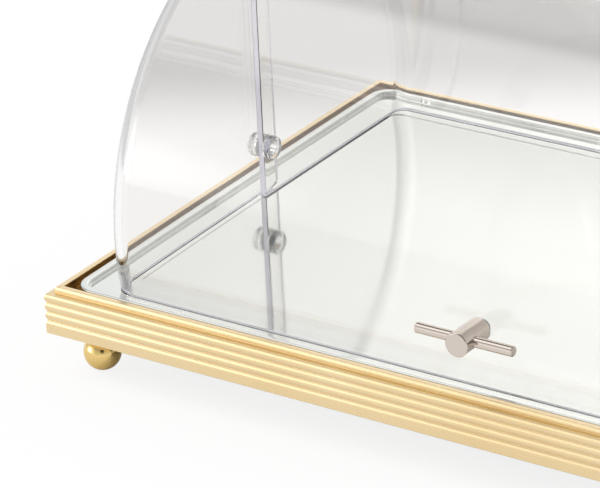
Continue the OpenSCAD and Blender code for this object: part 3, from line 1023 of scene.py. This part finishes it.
class ROLLTOP_OT_pivots(Operator):
    """Models the clear pivot pins with their washers and caps."""

    bl_idname = "rolltop.pivots"
    bl_label = "Pivots"

    def execute(self, context):
        sizes = context.scene.rolltop_cover
        knob, edge = sizes.knob, sizes.knob_edge
        base = Z * PIVOT.z
        wall, end = PIN_LOW.x + sizes.head - SEAT, PIN_HIGH.x - SEAT
        pin = turned(base, X, (0, PIN_LOW.x), [
            (knob - edge, PIN_LOW.x),
            (knob - edge, PIN_LOW.x + edge, QUARTER),
            (knob, wall),
            (sizes.pin, wall),
            (sizes.pin, PIN_HIGH.x - TIP),
            (sizes.pin - TIP, end),
            (0, end),
        ])
        low, high = PIVOT_WASHER_LOW.x + SEAT, PIVOT_WASHER_HIGH.x - SEAT
        washer = flat_ring(base, X, sizes.bore, knob, low, high)
        socket, bottom = sizes.pin + SEAT, CAP_LOW.x + sizes.socket + SEAT
        cap = turned(base, X, (0, bottom), [
            (socket, bottom),
            (socket, CAP_LOW.x),
            (knob, CAP_LOW.x),
            (knob, CAP_HIGH.x - edge),
            (knob - edge, CAP_HIGH.x - edge, QUARTER),
            (0, CAP_HIGH.x),
        ])
        clear, soft = clear_moulded_plastic(), milky_nylon()
        made = [
            ("pin", pin, "clear_pivot", clear),
            ("washer", washer, "soft_washer", soft),
            ("cap", cap, "clear_pivot", clear),
        ]
        for kind, right, slot, finish in made:
            soften(right, 0)
            left = copy_of(right, math.pi)
            for side, piece in (("left", left), ("right", right)):
                piece.visible_shadow = False
                hand_over(piece, f"turned_{kind}_{side}", f"pivot_{kind}_{side}", finish)
        return {"FINISHED"}


class ROLLTOP_OT_handle(Operator):
    """Models the handle: post, cross bar, screw and soft washers."""

    bl_idname = "rolltop.handle"
    bl_label = "Handle"

    def execute(self, context):
        sizes, cover = context.scene.rolltop_handle, context.scene.rolltop_cover
        way, edge = handle_way(sizes), sizes.edge
        radius = FRONT_HIGH.z - PIVOT.z
        tip, start = radius + sizes.length, radius + EASE
        bar_at = tip - sizes.inset
        # The screw's hole ends short of the bar. Round its mouth the outer washer is sunk.
        hole, sunk = bar_at - sizes.bar - 2 * MM, start + sizes.pad_thickness
        bore, mouth = sizes.screw + EASE, sizes.pad + EASE
        post = turned(PIVOT, way, (0, hole), [
            (bore, hole),
            (bore, sunk),
            (mouth, sunk),
            (mouth, start),
            (sizes.post - edge, start),
            (sizes.post, start + edge),
            (sizes.post, tip - edge),
            (sizes.post - edge, tip),
            (0, tip),
        ])
        close_fit = 0.02 * MM
        drill(post, PIVOT + way * bar_at, X, sizes.bar + close_fit, sizes.post)
        soften(post, TURNED_EDGE)
        hand_over(post, "brushed_post", "handle_post", brushed_stainless_steel("Y"))

        half = BAR_HIGH.x
        bar = turned(PIVOT + way * bar_at, X, (0, -half), [
            (sizes.bar - edge, -half),
            (sizes.bar, edge - half),
            (sizes.bar, half - edge),
            (sizes.bar - edge, half),
            (0, half),
        ])
        soften(bar, TURNED_EDGE)
        hand_over(bar, "brushed_bar", "handle_bar", brushed_stainless_steel("X"))

        # The inner washer's rim touches the round wall, and the outer one lies just off it.
        touch = math.sqrt((radius - cover.wall) ** 2 - sizes.pad ** 2) - EASE
        inner, outer = touch - sizes.pad_thickness, radius + 0.03 * MM
        for name, low in (("inner", inner), ("outer", outer)):
            high = low + sizes.pad_thickness - SEAT
            washer = flat_ring(PIVOT, way, LOOSE * sizes.screw, sizes.pad, low, high)
            soften(washer, PRESSED_EDGE)
            hand_over(washer, f"soft_washer_{name}", f"handle_washer_{name}", milky_nylon())

        # The head lies inside, so the screw is turned along the way back. It ends short of its hole's end.
        levels = MM - hole, SEAT - inner, sizes.head_height - inner
        dome, recess = 1.2 * MM, (2.4 * MM, 1.4 * MM)
        screw = pan_screw(PIVOT, -way, sizes.screw, sizes.screw_head, dome, levels, recess)
        hand_over(screw, "handle_pan_screw", "handle_screw", zinc_plated_steel())
        return {"FINISHED"}


# Stage

# Where the photograph was taken from: angles, place in metres, lens and sensor in millimetres
AZIMUTH, ELEVATION, ROLL = math.radians(34.6348), math.radians(25.421), math.radians(-2.7336)
CAMERA_PLACE = Vector((0.99741, -1.76101, 1.03916))
LENS, SENSOR = 240.711, 36.0
VIEW_AWAY = Vector((-math.sin(AZIMUTH), math.cos(AZIMUTH), 0))
# The soft lamp, and the point that it is turned to
LAMP_PLACE, LAMP_AIM = Vector((-1.0, -0.9, 1.9)), Vector((0, 0, 0.1))
LAMP_WIDTH, LAMP_POWER = 1.4, 26
# Bright and dark patches of the dome: direction, angles in degrees where they are full and end, strength
SOFT_BOXES = [
    (Vector((-0.762, -0.639, 0.105)), 8, 20, 2.6),
    (Vector((-0.715, -0.691, 0.105)), 10, 40, 0.5),
    (Vector((-0.1, 0.85, 0.5)), 20, 60, 0.35),
    (Vector((-0.307, 0.760, 0.574)), 4, 20, 0.6),
    (Vector((-0.5, -0.2, 0.84)), 12, 22, 1.2),
    (Vector((-0.5, 0.35, 0.79)), 8, 18, -0.4),
    (Vector((0.52, -0.77, 0.36)), 7, 16, -0.5),
]


@material("Matt white paper")
def matt_white_paper(tree, place, colours):
    """Matt white paper: a white floor with a faint shadow, and painted shade that greys it further back where
    the covers show it.
    """
    rays = add_node(tree, "LightPath").outputs
    paper = add_node(tree, "BsdfDiffuse", {"Color": colours.paper})
    seen = add_node(tree, "Emission", {"Color": WHITE, "Strength": 1.0})
    # Painted shade: rays through the covers see the floor darken from white to two thirds of it further back.
    away = add_node(tree, "VectorMath", {0: place, 1: VIEW_AWAY}, operation="DOT_PRODUCT")
    grey = {"Value": away.outputs["Value"], "From Min": 0.33, "From Max": 0.46, "To Min": 1.0, "To Max": 0.67}
    painted_falloff = add_node(tree, "MapRange", grey, interpolation_type="SMOOTHSTEP")
    behind = add_node(tree, "Emission", {"Color": WHITE, "Strength": painted_falloff.outputs["Result"]})
    through = rays["Is Transmission Ray"]
    shown = add_node(tree, "MixShader", {0: through, 1: seen.outputs[0], 2: behind.outputs[0]})
    # How far out a point lies: 1 at the frame's outer faces
    footprint = (1 / RAIL_HIGH.x, 1 / SIDE_HIGH.y, 0)
    spread = add_node(tree, "VectorMath", {0: place, 1: footprint}, operation="MULTIPLY")
    spread = add_node(tree, "VectorMath", {0: spread.outputs["Vector"]}, operation="ABSOLUTE")
    spread = add_node(tree, "SeparateXYZ", {0: spread.outputs["Vector"]}).outputs
    out = add_node(tree, "Math", {0: spread["X"], 1: spread["Y"]}, operation="MAXIMUM").outputs[0]
    # Close to the object some of the paper's own light and shade shows, and metal mirrors all of its shade.
    own = {"Value": out, "From Min": 0.7, "From Max": 1.6, "To Min": 0.82, "To Max": 1.0}
    plain = add_node(tree, "MapRange", own).outputs["Result"]
    below = add_node(tree, "MapRange", {"Value": out, "From Min": 0.85, "From Max": 1.4}).outputs["Result"]
    direct = add_node(tree, "Math", {0: rays["Is Camera Ray"], 1: through}, operation="MAXIMUM")
    direct = add_node(tree, "Math", {0: direct.outputs[0], 1: plain}, operation="MULTIPLY")
    mirrored = add_node(tree, "Math", {0: rays["Is Glossy Ray"], 1: below}, operation="MULTIPLY")
    share = add_node(tree, "Math", {0: direct.outputs[0], 1: mirrored.outputs[0]}, operation="MAXIMUM")
    mixed = add_node(tree, "MixShader", {0: share.outputs[0], 1: paper.outputs[0], 2: shown.outputs[0]})
    return {"Surface": mixed.outputs[0]}


def lay_floor():
    """A wide floor just under the feet."""
    floor = add("plane", size=12, location=(0, 0, -EASE))
    floor.name = "floor"
    floor.data.materials.append(matt_white_paper())


def light_studio(scene):
    """A dome that is white for the camera, grey overhead and bright in patches."""
    world = bpy.data.worlds.new("Studio")
    scene.world = world
    world.use_nodes = True
    tree = world.node_tree
    tree.nodes.clear()
    way = add_node(tree, "TexCoord").outputs["Generated"]
    height = add_node(tree, "SeparateXYZ", {0: way}).outputs["Z"]
    dome = {"Value": height, "From Min": 0.0, "From Max": 0.9, "To Min": 0.8, "To Max": 0.28}
    level = add_node(tree, "MapRange", dome, interpolation_type="SMOOTHSTEP").outputs["Result"]
    for toward, full, end, strength in SOFT_BOXES:
        facing = add_node(tree, "VectorMath", {0: way, 1: toward.normalized()}, operation="DOT_PRODUCT")
        patch = {
            "Value": facing.outputs["Value"], "To Min": 0.0, "To Max": strength,
            "From Min": math.cos(math.radians(end)), "From Max": math.cos(math.radians(full)),
        }
        glow = add_node(tree, "MapRange", patch, interpolation_type="SMOOTHSTEP")
        level = add_node(tree, "Math", {0: level, 1: glow.outputs["Result"]}, operation="ADD").outputs[0]
    studio = add_node(tree, "Background", {"Color": WHITE, "Strength": level})
    white = add_node(tree, "Background", {"Color": WHITE, "Strength": 1.0})
    camera_ray = add_node(tree, "LightPath").outputs["Is Camera Ray"]
    seen = add_node(tree, "MixShader", {0: camera_ray, 1: studio.outputs[0], 2: white.outputs[0]})
    add_node(tree, "OutputWorld", {"Surface": seen.outputs[0]})


def hang_lamp():
    """A square soft lamp that no metal and no clear wall shows."""
    bpy.ops.object.select_all(action="DESELECT")
    bpy.ops.object.light_add(type="AREA", location=LAMP_PLACE)
    lamp = bpy.context.object
    lamp.name = "soft_key"
    lamp.data.size = LAMP_WIDTH
    lamp.data.energy = LAMP_POWER
    lamp.rotation_euler = (LAMP_AIM - LAMP_PLACE).to_track_quat("-Z", "Y").to_euler()
    lamp.visible_glossy = False
    lamp.visible_transmission = False


def place_camera(scene):
    """Stands the camera at the photograph's place, with its lens and its slight roll."""
    bpy.ops.object.select_all(action="DESELECT")
    bpy.ops.object.camera_add(location=CAMERA_PLACE)
    camera = bpy.context.object
    turn, tilt = Matrix.Rotation(AZIMUTH, 3, "Z"), Matrix.Rotation(QUARTER - ELEVATION, 3, "X")
    camera.rotation_euler = (turn @ tilt @ Matrix.Rotation(ROLL, 3, "Z")).to_euler()
    camera.data.lens = LENS
    camera.data.sensor_width = SENSOR
    camera.data.clip_end = 50
    scene.camera = camera


class ROLLTOP_OT_stage(Operator):
    """Lays the pale floor and sets the soft studio light and the camera."""

    bl_idname = "rolltop.stage"
    bl_label = "Floor, light and camera"

    def execute(self, context):
        scene = context.scene
        scene.view_settings.view_transform = "Standard"
        # Enough for rays that cross both covers twice and run along their walls
        scene.cycles.max_bounces = 32
        scene.cycles.transmission_bounces = 32
        scene.cycles.glossy_bounces = 12
        lay_floor()
        light_studio(scene)
        hang_lamp()
        place_camera(scene)
        return {"FINISHED"}


PIECES = [
    ROLLTOP_OT_reeded_rails,
    ROLLTOP_OT_corner_plates,
    ROLLTOP_OT_ball_feet,
    ROLLTOP_OT_plate_screws,
    ROLLTOP_OT_foot_washers,
    ROLLTOP_OT_foot_nuts,
    ROLLTOP_OT_tray,
    ROLLTOP_OT_rear_cover,
    ROLLTOP_OT_front_cover,
    ROLLTOP_OT_pivots,
    ROLLTOP_OT_handle,
    ROLLTOP_OT_stage,
]


class ROLLTOP_PT_panel(Panel):
    """Lists the pieces of the display and their sizes."""

    bl_idname = "ROLLTOP_PT_panel"
    bl_label = "Roll top display"
    bl_space_type = "VIEW_3D"
    bl_region_type = "UI"
    bl_category = "Roll top"

    def draw(self, context):
        for piece in PIECES:
            self.layout.operator(piece.bl_idname)
        for name, group in GROUPS.items():
            box = self.layout.box()
            for key in group.__annotations__:
                box.prop(getattr(context.scene, name), key)


CLASSES = [*GROUPS.values(), *PIECES, ROLLTOP_PT_panel]


def register():
    for each in CLASSES:
        bpy.utils.register_class(each)
    for name, group in GROUPS.items():
        setattr(bpy.types.Scene, name, PointerProperty(type=group))


def unregister():
    for name in GROUPS:
        delattr(bpy.types.Scene, name)
    for each in reversed(CLASSES):
        bpy.utils.unregister_class(each)


def main():
    register()
    for piece in PIECES:
        category, name = piece.bl_idname.split(".")
        getattr(getattr(bpy.ops, category), name)()


if __name__ == "__main__":
    main()
